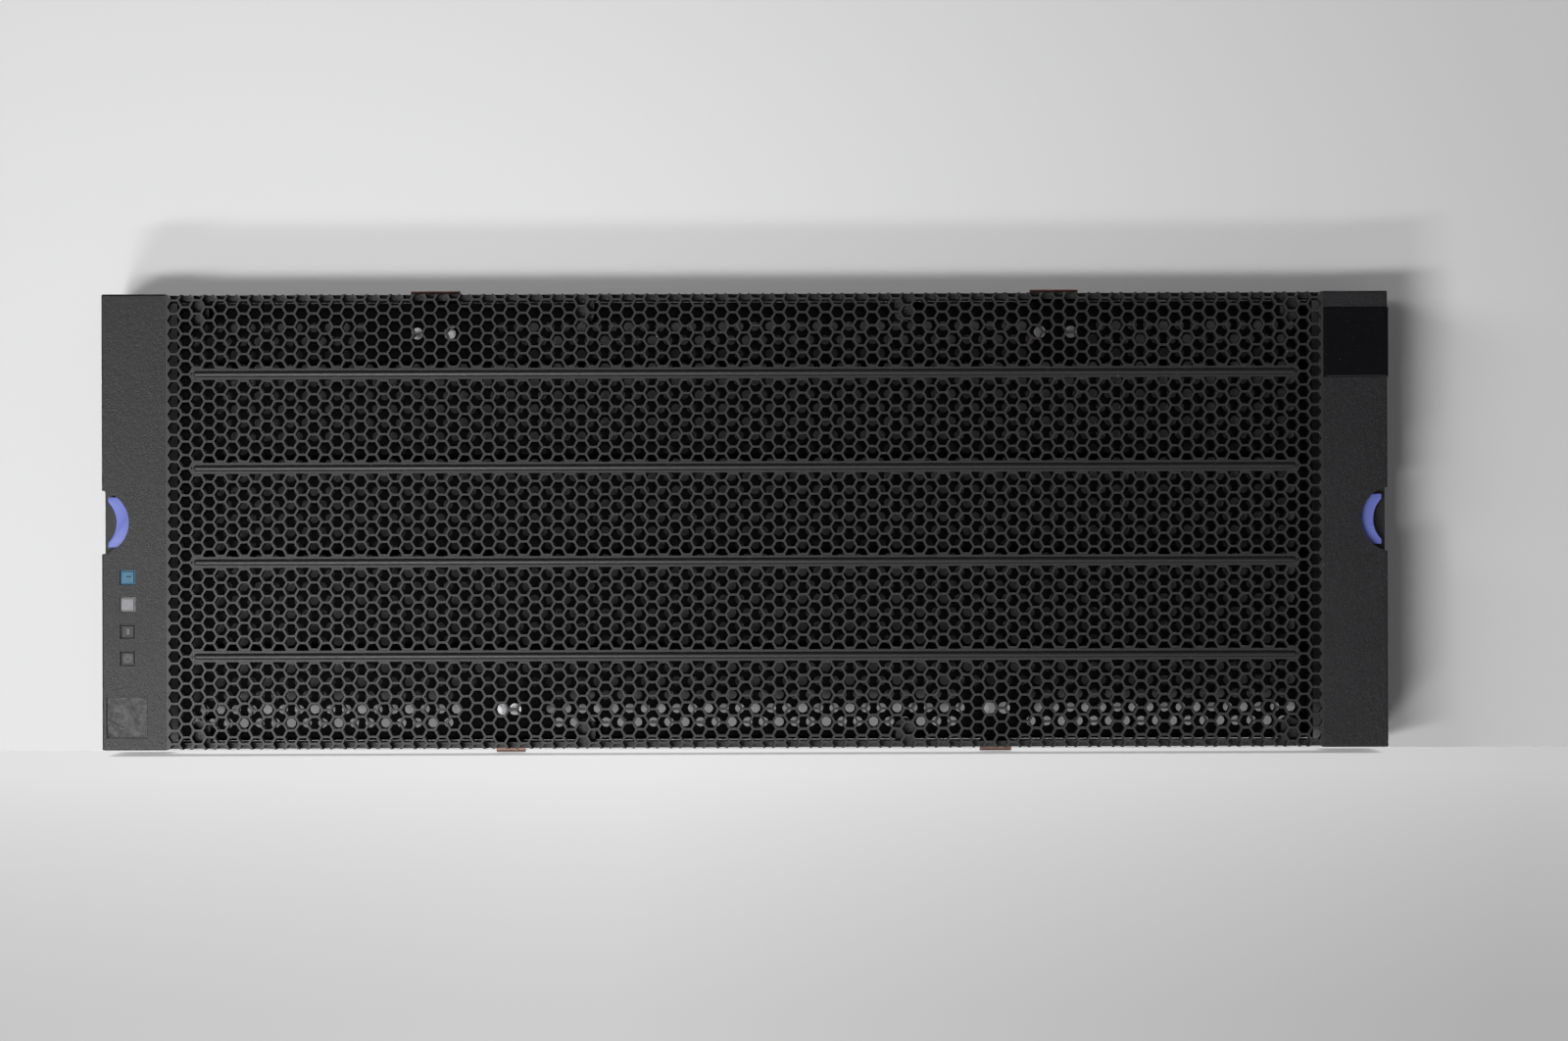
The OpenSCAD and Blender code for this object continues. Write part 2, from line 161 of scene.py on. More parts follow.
def select_edges(piece, test):
    """Selects the edges for which test(middle, edge) holds"""
    bpy.ops.mesh.select_mode(type="EDGE")
    bpy.ops.mesh.select_all(action="DESELECT")
    mesh = bmesh.from_edit_mesh(piece.data)
    for edge in mesh.edges:
        edge.select_set(bool(test((edge.verts[0].co + edge.verts[1].co) / 2, edge)))
    bmesh.update_edit_mesh(piece.data)


def select_points(piece, test):
    bpy.ops.mesh.select_mode(type="VERT")
    bpy.ops.mesh.select_all(action="DESELECT")
    mesh = bmesh.from_edit_mesh(piece.data)
    for point in mesh.verts:
        point.select_set(bool(test(point.co)))
    mesh.select_flush_mode()
    bmesh.update_edit_mesh(piece.data)


def named(name):
    piece = bpy.context.object
    piece.name = name
    piece.data.name = name
    return piece


def apply_all(piece):
    only(piece)
    for modifier in list(piece.modifiers):
        bpy.ops.object.modifier_apply(modifier=modifier.name)


def settle(piece):
    """Puts the piece's place into its mesh"""
    only(piece)
    bpy.ops.object.transform_apply(location=True, rotation=True, scale=True)
    return piece


def add_modifier(piece, kind, **settings):
    modifier = piece.modifiers.new(kind.title(), kind)
    for key, value in settings.items():
        setattr(modifier, key, value)
    return modifier


def bevelled(piece, width, segments=2, angle=30):
    add_modifier(piece, "BEVEL", width=width * MM, segments=segments, limit_method="ANGLE",
                 angle_limit=math.radians(angle))
    apply_all(piece)


def smooth(piece, angle=35):
    only(piece)
    bpy.ops.object.shade_smooth_by_angle(angle=math.radians(angle))


def join(name, pieces):
    deselect()
    for piece in pieces:
        piece.select_set(True)
    bpy.context.view_layer.objects.active = pieces[0]
    if len(pieces) > 1:
        bpy.ops.object.join()
    return named(name)


def copy_of(piece, shift, turn=None):
    """A copy with its own mesh, moved by shift and first turned by a matrix"""
    twin = piece.copy()
    twin.data = piece.data.copy()
    if turn:
        twin.data.transform(turn)
    twin.data.transform(Matrix.Translation(shift))
    bpy.context.scene.collection.objects.link(twin)
    return twin


def box_between(name, low, high):
    """A block between two corners in panel millimetres"""
    a, b = at(*low), at(*high)
    deselect()
    bpy.ops.mesh.primitive_cube_add(size=1, location=(a + b) / 2)
    piece = named(name)
    piece.scale = [abs(v) for v in b - a]
    return settle(piece)


def merged_copy(node, name):
    """A welded copy of a CAD node's mesh, to be worked on as a piece of its own"""
    piece = copy_of(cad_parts[node], Vector())
    piece.parent = None
    for key in list(piece.keys()):
        del piece[key]
    piece.matrix_world = Matrix.Identity(4)
    piece.name = piece.data.name = name
    piece.hide_render = False
    edit(piece)
    select_all()
    bpy.ops.mesh.remove_doubles(threshold=1e-6)
    bpy.ops.mesh.dissolve_limited(angle_limit=math.radians(1))
    leave()
    return piece


def finish(piece, body, slot_name, material, *nodes):
    """Gives a finished piece its material and body, and hides the CAD nodes it stands for;
    slot_name is not used
    """
    piece.data.materials.clear()
    piece.data.materials.append(material)
    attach(piece, body)
    if nodes:
        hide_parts(*nodes)
    return piece


# ---------------------------------------------------------------- shared shader effects

def new_effect(name, inputs, outputs):
    group = bpy.data.node_groups.new(name, "ShaderNodeTree")
    for label, kind, value in inputs:
        socket = group.interface.new_socket(label, in_out="INPUT", socket_type=kind)
        if value is not None:
            socket.default_value = value
    for label, kind in outputs:
        group.interface.new_socket(label, in_out="OUTPUT", socket_type=kind)
    return group, group.nodes.new("NodeGroupInput"), group.nodes.new("NodeGroupOutput")


def put(tree, kind, **settings):
    node = tree.nodes.new("ShaderNode" + kind)
    for key, value in settings.items():
        setattr(node, key, value)
    return node


def feed(tree, *links):
    """Each link is (source, target); a source may also be a plain value"""
    for source, target in links:
        if isinstance(source, bpy.types.NodeSocket):
            tree.links.new(source, target)
        else:
            target.default_value = source


def noise(tree, place, size, detail=2.0, rough=0.5):
    """Noise with a feature size in millimetres"""
    node = put(tree, "TexNoise")
    feed(tree, (place, node.inputs["Vector"]), (1 / (size * MM), node.inputs["Scale"]),
         (detail, node.inputs["Detail"]), (rough, node.inputs["Roughness"]))
    return node.outputs["Fac"]


def spread(tree, value, low, high, to_low=0.0, to_high=1.0):
    node = put(tree, "MapRange", clamp=True)
    feed(tree, (value, node.inputs["Value"]), (low, node.inputs["From Min"]),
         (high, node.inputs["From Max"]), (to_low, node.inputs["To Min"]),
         (to_high, node.inputs["To Max"]))
    return node.outputs["Result"]


def blend_colours(tree, factor, first, second, how="MIX"):
    node = put(tree, "Mix", data_type="RGBA", blend_type=how)
    feed(tree, (factor, node.inputs["Factor"]), (first, node.inputs["A"]),
         (second, node.inputs["B"]))
    return node.outputs["Result"]


def maths(tree, how, a, b):
    node = put(tree, "Math", operation=how)
    feed(tree, (a, node.inputs[0]), (b, node.inputs[1]))
    return node.outputs[0]


def moulded_grain():
    """Fine spark-eroded grain of a moulded part: colour speckle, uneven gloss and height"""
    group, take, give = new_effect("moulded grain", [
        ("Place", "NodeSocketVector", None), ("Colour", "NodeSocketColor", (0.02, 0.02, 0.02, 1)),
        ("Speckle", "NodeSocketColor", (0.05, 0.05, 0.06, 1)),
        ("Speckle amount", "NodeSocketFloat", 0.5), ("Gloss", "NodeSocketFloat", 0.45),
        ("Dust", "NodeSocketFloat", 0.2)],
        [("Colour", "NodeSocketColor"), ("Roughness", "NodeSocketFloat"),
         ("Height", "NodeSocketFloat")])
    place = take.outputs["Place"]
    fine = noise(group, place, 0.55, 3.0, 0.6)
    coarse = noise(group, place, 1.6, 2.0)
    cloud = noise(group, place, 45.0, 3.0, 0.6)
    specks = spread(group, fine, 0.52, 0.74)
    amount = maths(group, "MULTIPLY", specks, take.outputs["Speckle amount"])
    colour = blend_colours(group, amount, take.outputs["Colour"], take.outputs["Speckle"])
    dust_mask = maths(group, "MULTIPLY", spread(group, noise(group, place, 0.9, 1.0), 0.77, 0.8),
                      take.outputs["Dust"])
    colour = blend_colours(group, dust_mask, colour, (0.35, 0.35, 0.36, 1))
    uneven = maths(group, "ADD", spread(group, cloud, 0.3, 0.7, -0.03, 0.03),
                   spread(group, coarse, 0.3, 0.7, -0.03, 0.03))
    gloss = maths(group, "ADD", take.outputs["Gloss"], uneven)
    height = maths(group, "ADD", maths(group, "MULTIPLY", fine, 0.6),
                   maths(group, "MULTIPLY", coarse, 0.4))
    feed(group, (colour, give.inputs["Colour"]), (gloss, give.inputs["Roughness"]),
         (height, give.inputs["Height"]))
    return group


def drawn_metal():
    """Fine rolling lines and stains of sheet and wire"""
    group, take, give = new_effect("drawn metal", [
        ("Place", "NodeSocketVector", None), ("Colour", "NodeSocketColor", (0.5, 0.5, 0.5, 1)),
        ("Stain", "NodeSocketColor", (0.3, 0.3, 0.3, 1)), ("Stain amount", "NodeSocketFloat", 0.4),
        ("Gloss", "NodeSocketFloat", 0.3)],
        [("Colour", "NodeSocketColor"), ("Roughness", "NodeSocketFloat"),
         ("Height", "NodeSocketFloat")])
    stretch = put(group, "Mapping")
    feed(group, (take.outputs["Place"], stretch.inputs["Vector"]),
         ((0.12, 1.0, 1.0), stretch.inputs["Scale"]))
    lines = noise(group, stretch.outputs["Vector"], 0.25, 3.0, 0.7)
    patches = noise(group, take.outputs["Place"], 4.0, 3.0, 0.6)
    amount = maths(group, "MULTIPLY", spread(group, patches, 0.42, 0.68),
                   take.outputs["Stain amount"])
    colour = blend_colours(group, amount, take.outputs["Colour"], take.outputs["Stain"])
    gloss = maths(group, "ADD", take.outputs["Gloss"], spread(group, lines, 0.3, 0.7, -0.05, 0.08))
    feed(group, (colour, give.inputs["Colour"]), (gloss, give.inputs["Roughness"]),
         (lines, give.inputs["Height"]))
    return group


GRAIN = moulded_grain()
DRAWN = drawn_metal()


def new_material(name, colour, **sockets):
    """A material with a Principled shader; returns it with its tree, shader and Object place"""
    material = bpy.data.materials.new(name)
    material.use_nodes = True
    tree = material.node_tree
    shader = next(n for n in tree.nodes if n.type == "BSDF_PRINCIPLED")
    shader.inputs["Base Color"].default_value = (*colour, 1)
    for label, value in sockets.items():
        shader.inputs[label.replace("_", " ")].default_value = value
    place = put(tree, "TexCoord").outputs["Object"]
    return material, tree, shader, place


def relief(tree, shader, height, depth, strength=1.0):
    """Bumps of the given depth in millimetres"""
    bump = put(tree, "Bump")
    feed(tree, (height, bump.inputs["Height"]), (strength, bump.inputs["Strength"]),
         (depth * MM, bump.inputs["Distance"]), (bump.outputs["Normal"], shader.inputs["Normal"]))


def use_effect(tree, shader, place, group, depth, strength, **values):
    node = put(tree, "Group", node_tree=group)
    feed(tree, (place, node.inputs["Place"]))
    for label, value in values.items():
        node.inputs[label.replace("_", " ")].default_value = value
    feed(tree, (node.outputs["Colour"], shader.inputs["Base Color"]),
         (node.outputs["Roughness"], shader.inputs["Roughness"]))
    relief(tree, shader, node.outputs["Height"], depth, strength)
    return node


def moulded(name, colour, speckle, amount, gloss, depth, strength=0.6, dust=0.2, shine=0.3):
    material, tree, shader, place = new_material(name, colour, Specular_IOR_Level=shine)
    use_effect(tree, shader, place, GRAIN, depth, strength, Colour=(*colour, 1),
               Speckle=(*speckle, 1), Speckle_amount=amount, Gloss=gloss, Dust=dust)
    return material


def metal(name, colour, stain, amount, gloss, metallic=1.0, depth=0.01, shine=0.5):
    material, tree, shader, place = new_material(name, colour, Metallic=metallic,
                                                 Specular_IOR_Level=shine)
    use_effect(tree, shader, place, DRAWN, depth, 0.3, Colour=(*colour, 1), Stain=(*stain, 1),
               Stain_amount=amount, Gloss=gloss)
    return material


panel_plastic = moulded("panel plastic", (0.006, 0.006, 0.007), (0.045, 0.042, 0.052), 0.8,
                        0.42, 0.16, 1.0, shine=0.45)
grille_plastic = moulded("grille plastic", (0.011, 0.011, 0.012), (0.05, 0.05, 0.053), 0.5,
                         0.42, 0.05, dust=0.5, shine=0.55)
inner_plastic = moulded("inner plastic", (0.015, 0.015, 0.016), (0.03, 0.03, 0.032), 0.3, 0.55,
                        0.03, dust=0.0)
touch_plastic = moulded("touch point plastic", (0.14, 0.175, 0.52), (0.19, 0.23, 0.6), 0.25, 0.42,
                        0.012, 0.4, dust=0.1)
screen_coat = metal("coated screen", (0.003, 0.003, 0.0035), (0.006, 0.006, 0.006), 0.4, 0.6, 0.0,
                    shine=0.08)
zinc = metal("zinc plate", (0.62, 0.62, 0.64), (0.42, 0.41, 0.40), 0.35, 0.32)
spring_steel = metal("spring steel", (0.66, 0.66, 0.68), (0.5, 0.5, 0.5), 0.3, 0.25)
clip_steel = metal("brown clip steel", (0.23, 0.14, 0.11), (0.10, 0.06, 0.05), 0.5, 0.38, 0.9)


def badge_gloss_material():
    """Polished black with hairline scratches and a few dust specks"""
    material, tree, shader, place = new_material("polished badge", (0.004, 0.004, 0.005),
                                                 Specular_IOR_Level=0.35,
                                                 Coat_Weight=0.15, Coat_Roughness=0.05)
    stretch = put(tree, "Mapping")
    feed(tree, (place, stretch.inputs["Vector"]), ((0.05, 1, 1.4), stretch.inputs["Scale"]))
    lines = spread(tree, noise(tree, stretch.outputs["Vector"], 0.2, 2.0), 0.66, 0.8)
    specks = spread(tree, noise(tree, place, 0.5, 1.0), 0.76, 0.8)
    marks = maths(tree, "MAXIMUM", maths(tree, "MULTIPLY", lines, 0.25), specks)
    feed(tree, (blend_colours(tree, marks, (0.004, 0.004, 0.005, 1), (0.09, 0.09, 0.1, 1)),
                shader.inputs["Base Color"]),
         (spread(tree, marks, 0, 1, 0.1, 0.45), shader.inputs["Roughness"]))
    return material


def label_film_material():
    """Dark film with a worn, creased surface"""
    material, tree, shader, place = new_material("label film", (0.02, 0.02, 0.021),
                                                 Specular_IOR_Level=0.35)
    wear = noise(tree, place, 2.6, 5.0, 0.65)
    scuffs = spread(tree, noise(tree, place, 0.8, 4.0, 0.7), 0.55, 0.75)
    colour = blend_colours(tree, spread(tree, wear, 0.4, 0.65), (0.02, 0.02, 0.021, 1),
                           (0.05, 0.05, 0.052, 1))
    colour = blend_colours(tree, maths(tree, "MULTIPLY", scuffs, 0.5), colour,
                           (0.07, 0.07, 0.073, 1))
    feed(tree, (colour, shader.inputs["Base Color"]),
         (spread(tree, wear, 0.3, 0.7, 0.5, 0.32), shader.inputs["Roughness"]))
    relief(tree, shader, wear, 0.15, 0.7)
    return material


def lens_material(name, colour, deep, gloss, clouding=0.6):
    """Translucent moulded lens, clouded in random patches"""
    material, tree, shader, place = new_material(
        name, colour, Specular_IOR_Level=0.3, Subsurface_Weight=0.15, Subsurface_Scale=0.001)
    cloud = noise(tree, place, 1.8, 3.0, 0.6)
    fine = noise(tree, place, 0.3, 2.0)
    colour_out = blend_colours(
        tree, maths(tree, "MULTIPLY", spread(tree, cloud, 0.35, 0.65), clouding),
        (*colour, 1), (*deep, 1))
    feed(tree, (colour_out, shader.inputs["Base Color"]),
         (spread(tree, fine, 0.3, 0.7, gloss - 0.05, gloss + 0.08), shader.inputs["Roughness"]))
    relief(tree, shader, fine, 0.01, 0.4)
    return material


polished = badge_gloss_material()
film = label_film_material()
lens_blue = lens_material("blue lens", (0.045, 0.155, 0.25), (0.08, 0.21, 0.31), 0.3)
lens_white = lens_material("white lens", (0.28, 0.28, 0.295), (0.22, 0.22, 0.23), 0.35)
lens_smoke = lens_material("smoked lens", (0.03, 0.03, 0.031), (0.055, 0.055, 0.057), 0.3)
print_pale = lens_material("pale print", (0.17, 0.17, 0.175), (0.14, 0.14, 0.145), 0.45)
print_dark = lens_material("dark print", (0.02, 0.035, 0.05), (0.03, 0.04, 0.05), 0.45)


# ---------------------------------------------------------------- perforated plates

def lay_tiles(name, open_tile, plain_tile, spots):
    """Copies a tile to each spot (x, z, open) and welds all into one flat sheet"""
    points, faces = [], []
    count = 0
    shapes = {}
    for key, tile in ((True, open_tile), (False, plain_tile)):
        mesh = tile.data
        shapes[key] = (np.array([v.co for v in mesh.vertices]),
                       [tuple(p.vertices) for p in mesh.polygons])
    for x, z, is_open in spots:
        corners, polygons = shapes[is_open]
        points.append(corners + np.array([x * MM, 0, z * MM]))
        faces += [tuple(i + count for i in p) for p in polygons]
        count += len(corners)
    mesh = bpy.data.meshes.new(name)
    mesh.from_pydata(np.concatenate(points).tolist(), [], faces)
    piece = bpy.data.objects.new(name, mesh)
    bpy.context.scene.collection.objects.link(piece)
    for tile in (open_tile, plain_tile):
        bpy.data.objects.remove(tile)
    edit(piece)
    select_all()
    bpy.ops.mesh.remove_doubles(threshold=2e-6)
    leave()
    return piece


def trim(piece, low, high):
    """Cuts a flat sheet off outside a rectangle in X and Z"""
    edit(piece)
    for axis, low_side, high_side in ((Vector((1, 0, 0)), low.x, high.x),
                                      (Vector((0, 0, 1)), low.z, high.z)):
        for place, outward in ((low_side, -axis), (high_side, axis)):
            select_all()
            bpy.ops.mesh.bisect(plane_co=axis * place, plane_no=outward, clear_outer=True)
    leave()


def thicken(piece, thickness):
    add_modifier(piece, "SOLIDIFY", thickness=thickness, offset=-1)
    apply_all(piece)


def hexagon(radius, turn, fill="NGON"):
    deselect()
    bpy.ops.mesh.primitive_circle_add(vertices=6, radius=radius, fill_type=fill,
                                      rotation=(math.pi / 2, turn, 0))
    return settle(bpy.context.object)


def cell_tile():
    """One cell of the honeycomb: half of each rib around a six-sided opening"""
    tile = hexagon(CELL_PITCH * MM / math.sqrt(3), math.pi / 6)
    edit(tile)
    select_all()
    bpy.ops.mesh.inset(thickness=(CELL_PITCH - CELL_OPEN) / 2 * MM)
    bpy.ops.mesh.delete(type="FACE")
    leave()
    return tile


def fill_strip(piece, z_middle):
    """Replaces the cells in one strip of the flat honeycomb by plain sheet"""
    low = Vector((-STRIP_HALF_W * MM, 0, z_middle - STRIP_HALF_H * MM))
    high = Vector((STRIP_HALF_W * MM, 0, z_middle + STRIP_HALF_H * MM))
    reach = CELL_PITCH * MM
    edit(piece)
    cuts = ((Vector((0, 0, 1)), low.z), (Vector((0, 0, 1)), high.z),
            (Vector((1, 0, 0)), low.x), (Vector((1, 0, 0)), high.x))
    for axis, place in cuts:
        select_faces(piece, lambda c, n: low.z - reach < c.z < high.z + reach
                     and (axis.z or low.z - 1e-6 < c.z < high.z + 1e-6))
        bpy.ops.mesh.bisect(plane_co=axis * place, plane_no=axis)
    select_faces(piece, lambda c, n: low.x < c.x < high.x and low.z < c.z < high.z)
    bpy.ops.mesh.delete(type="FACE")
    mesh = bmesh.from_edit_mesh(piece.data)
    near = 2e-6
    rim = [v for v in mesh.verts
           if low.x - near < v.co.x < high.x + near and low.z - near < v.co.z < high.z + near]

    length, height = high.x - low.x, high.z - low.z

    def way_round(v):
        """Distance along the rim from its lower left corner, anticlockwise"""
        if abs(v.co.z - low.z) < near:
            return v.co.x - low.x
        if abs(v.co.x - high.x) < near:
            return length + v.co.z - low.z
        if abs(v.co.z - high.z) < near:
            return length + height + high.x - v.co.x
        return 2 * length + height + high.z - v.co.z

    y = rim[0].co.y
    for x, z in ((low.x, low.z), (high.x, low.z), (high.x, high.z), (low.x, high.z)):
        if not any(abs(v.co.x - x) < near and abs(v.co.z - z) < near for v in rim):
            rim.append(mesh.verts.new((x, y, z)))
    mesh.faces.new(sorted(rim, key=way_round))
    bmesh.update_edit_mesh(piece.data)
    leave()


def bead(z_middle):
    """Round-ended bead, standing half proud of its strip"""
    deselect()
    bpy.ops.mesh.primitive_uv_sphere_add(segments=20, ring_count=12, radius=BEAD_R * MM,
                                         rotation=(0, math.pi / 2, 0))
    piece = settle(bpy.context.object)
    half = (BEAD_HALF - BEAD_R) * MM
    edit(piece)
    for side in (-1, 1):
        select_points(piece, lambda p: p.x * side > 1e-6)
        bpy.ops.transform.translate(value=(side * half, 0, 0))
    select_all()
    bpy.ops.mesh.bisect(plane_co=(0, 0.7 * BEAD_R * MM, 0), plane_no=(0, 1, 0), use_fill=True,
                        clear_outer=True)
    leave()
    piece.data.transform(Matrix.Translation(Vector((0, FRAME_LOW.y + BEAD_SUNK * MM, z_middle))))
    smooth(piece, 50)
    return piece


def honeycomb():
    """The grille with its true cells, plain strips and beads"""
    spots = []
    for i in range(-LAST_COLUMN - 1, LAST_COLUMN + 2):
        half_type = i % 2 == 1
        rows = range(35) if half_type else range(-1, 35)
        for j in rows:
            z = MID + (j - (17 if half_type else 16.5)) * CELL_PITCH
            spots.append((i * COLUMN_PITCH, z, abs(i) <= LAST_COLUMN))
    plain = hexagon(CELL_PITCH * MM / math.sqrt(3), math.pi / 6)
    piece = lay_tiles("honeycomb", cell_tile(), plain, spots)
    piece.data.transform(Matrix.Translation(at(0, 0, 0)))
    trim(piece, GRILLE_LOW, GRILLE_HIGH)
    heights = [at(0, 0, MID + (j - 17) * CELL_PITCH).z for j in BEAD_ROWS]
    for z in heights:
        fill_strip(piece, z)
    thicken(piece, GRILLE_T * MM)
    return join("honeycomb", [piece] + [bead(z) for z in heights])


def hole_tile():
    """One hole of the screen in a six-sided patch of sheet"""
    tile = hexagon(HOLE_PITCH * MM / math.sqrt(3), 0, "NOTHING")
    edit(tile)
    select_all()
    bpy.ops.mesh.subdivide(number_cuts=1)
    bpy.ops.mesh.primitive_circle_add(vertices=12, radius=HOLE_D / 2 * MM,
                                      rotation=(math.pi / 2, 0, 0))
    select_all()
    bpy.ops.mesh.bridge_edge_loops()
    leave()
    return tile


def sheet_tile():
    tile = hexagon(HOLE_PITCH * MM / math.sqrt(3), 0, "NOTHING")
    edit(tile)
    select_all()
    bpy.ops.mesh.subdivide(number_cuts=1)
    select_all()
    bpy.ops.mesh.edge_face_add()
    leave()
    return tile


def screen_sheet():
    """Perforated sheet with folded long edges, plain where the clips are riveted on"""
    row_pitch = HOLE_PITCH * math.sin(math.pi / 3)
    low = (SCREEN_LOW.z - FRAME_LOW.z) / MM
    high = (SCREEN_HIGH.z - FRAME_LOW.z) / MM
    half = SCREEN_HIGH.x / MM
    spots = []
    for j in range(-1, 34):
        z = HOLE_Z + j * row_pitch
        for i in range(-38, 38):
            x = HOLE_X + (i + (j % 2) / 2) * HOLE_PITCH
            edge = min(z - low, high - z, half - abs(x))
            zone = any(x0 < x < x1 and side * (z - MID) > MID - PLAIN_ZONE_H
                       for x0, x1, side in PLAIN_ZONES)
            spots.append((x, z, edge > FOLD_MARGIN and not zone))
    piece = lay_tiles("screen_sheet", hole_tile(), sheet_tile(), spots)
    piece.data.transform(Matrix.Translation(Vector((0, SCREEN_LOW.y, FRAME_LOW.z))))
    trim(piece, SCREEN_LOW, SCREEN_HIGH)
    edit(piece)
    select_edges(piece, lambda c, e: e.is_boundary and (abs(c.z - SCREEN_LOW.z) < 2e-6
                                                        or abs(c.z - SCREEN_HIGH.z) < 2e-6))
    bpy.ops.mesh.extrude_edges_move(
        TRANSFORM_OT_translate={"value": (0, SCREEN_HIGH.y - SCREEN_LOW.y, 0)})
    select_all()
    bpy.ops.mesh.normals_make_consistent(inside=False)
    leave()
    if sum(p.normal.y * p.area for p in piece.data.polygons) > 0:
        piece.data.flip_normals()
    thicken(piece, SHEET_T * MM)
    smooth(piece)
    return piece


finish(honeycomb(), "bezel", "grille_plastic", grille_plastic, "honeycomb_grille")
finish(screen_sheet(), "bezel", "screen_steel", screen_coat, "perforated_screen")


# ---------------------------------------------------------------- fasteners

def pan_screw(length):
    """Pan head screw with a cross recess, its head towards +Y and resting at the origin"""
    deselect()
    bpy.ops.mesh.primitive_cylinder_add(vertices=32, radius=2.6 * MM, depth=1.8 * MM,
                                        location=(0, 0.9 * MM, 0), rotation=(math.pi / 2, 0, 0))
    head = settle(bpy.context.object)
    edit(head)
    select_faces(head, lambda c, n: n.y > 0.9)
    bpy.ops.mesh.bevel(offset=0.75 * MM, segments=4, affect="EDGES")
    leave()
    bars = []
    for w, h in ((2.9, 0.62), (0.62, 2.9)):
        deselect()
        bpy.ops.mesh.primitive_cube_add(size=1, location=(0, 1.5 * MM, 0))
        bar = bpy.context.object
        bar.scale = (w * MM, 1.4 * MM, h * MM)
        bars.append(settle(bar))
        add_modifier(head, "BOOLEAN", operation="DIFFERENCE", object=bar, solver="EXACT")
    apply_all(head)
    for bar in bars:
        bpy.data.objects.remove(bar)
    deselect()
    bpy.ops.mesh.primitive_cylinder_add(vertices=16, radius=1.4 * MM, depth=length * MM,
                                        location=(0, -length / 2 * MM, 0),
                                        rotation=(math.pi / 2, 0, 0))
    shank = settle(bpy.context.object)
    edit(shank)
    select_faces(shank, lambda c, n: n.y < -0.9)
    bpy.ops.transform.resize(value=(0.7, 1, 0.7), center_override=(0, -length * MM, 0))
    leave()
    screw = join("screw", [head, shank])
    smooth(screw)
    return screw


def set_screws(name, node, length, spots):
    """Copies a screw to each spot, each turned a little differently"""
    model = pan_screw(length)
    copies = [copy_of(model, at(*spot), Matrix.Rotation(0.9 * k * k + 0.4, 4, "Y"))
              for k, spot in enumerate(spots)]
    bpy.data.objects.remove(model)
    return finish(join(name, copies), "bezel", "fastener_steel", zinc, node)


def centres(node):
    """Middles of the separate solids of a CAD node, in panel millimetres, left to right"""
    mesh = bmesh.new()
    mesh.from_mesh(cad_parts[node].data)
    bmesh.ops.remove_doubles(mesh, verts=mesh.verts, dist=1e-6)
    left, middles = set(mesh.verts), []
    while left:
        group, todo = set(), [next(iter(left))]
        while todo:
            v = todo.pop()
            if v in group:
                continue
            group.add(v)
            todo += [e.other_vert(v) for e in v.link_edges]
        left -= group
        co = np.array([v.co for v in group])
        middle = (co.min(0) + co.max(0)) / 2
        middles.append(((middle[0]) / MM, (co[:, 1].max() - FRAME_LOW.y) / MM - 1.8,
                        (middle[2] - FRAME_LOW.z) / MM))
    mesh.free()
    return sorted(middles)


set_screws("screen_screw_set", "screen_screws", 6, centres("screen_screws"))
set_screws("carrier_screw_set", "carrier_screws", 7, centres("carrier_screws"))
set_screws("left_cover_screw_set", "left_cover_screws", 5, centres("left_cover_screws"))
set_screws("right_cover_screw_set", "right_cover_screws", 5, centres("right_cover_screws"))


# ---------------------------------------------------------------- windows and label

def window(name, node, material, slot_name):
    """Lens with a raised face in a bevelled border, flange and light pipe; returns its height"""
    low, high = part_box(node)
    middle = (low + high) / 2
    z = (middle.z - FRAME_LOW.z) / MM
    cap = box_between(name, (WINDOW_X - 2.8, LENS_RIM, z - 2.65), (WINDOW_X + 2.8, 2.45, z + 2.65))
    edit(cap)
    select_faces(cap, lambda c, n: n.y < -0.9)
    bpy.ops.mesh.inset(thickness=0.35 * MM)
    bpy.ops.mesh.inset(thickness=0.25 * MM)
    bpy.ops.transform.translate(value=(0, (LENS_FRONT - LENS_RIM) * MM, 0))
    leave()
    bevelled(cap, 0.06, 2, 20)
    flange = box_between("flange", (WINDOW_X - 3.7, 2.4, z - 3.55), (WINDOW_X + 3.7, 3.6, z + 3.55))
    bevelled(flange, 0.2)
    pipe = box_between("pipe", (WINDOW_X - 2, 3.5, z - 2), (WINDOW_X + 2, 24, z + 2))
    bevelled(pipe, 0.3)
    finish(join(name, [cap, flange, pipe]), "bezel", slot_name, material, node)
    return z


def bar_mark(name, x, z, w, h, material, slot_name):
    """A thin printed bar on a lens"""
    piece = box_between(name, (x - w / 2, SIGN_BACK - SIGN_T, z - h / 2),
                        (x + w / 2, SIGN_BACK, z + h / 2))
    bevelled(piece, 0.02)
    finish(piece, "bezel", slot_name, material)


def ring_mark(name, x, z, material, slot_name):
    """The common power sign: a ring open at the top, with a bar in the opening"""
    middle = at(x, SIGN_BACK - SIGN_T, z)
    deselect()
    bpy.ops.mesh.primitive_circle_add(vertices=40, radius=1.35 * MM, fill_type="NGON",
                                      rotation=(math.pi / 2, 0, 0), location=middle)
    ring = settle(bpy.context.object)
    edit(ring)
    select_all()
    bpy.ops.mesh.inset(thickness=0.32 * MM)
    bpy.ops.mesh.delete(type="FACE")
    select_faces(ring, lambda c, n: abs(c.x - middle.x) < 0.45 * MM and c.z > middle.z)
    bpy.ops.mesh.delete(type="FACE")
    leave()
    if sum(p.normal.y for p in ring.data.polygons) > 0:
        ring.data.flip_normals()
    thicken(ring, SIGN_T * MM)
    stem = box_between("stem", (x - 0.17, SIGN_BACK - SIGN_T, z - 0.1),
                       (x + 0.17, SIGN_BACK, z + 1.5))
    finish(join(name, [ring, stem]), "bezel", slot_name, material)


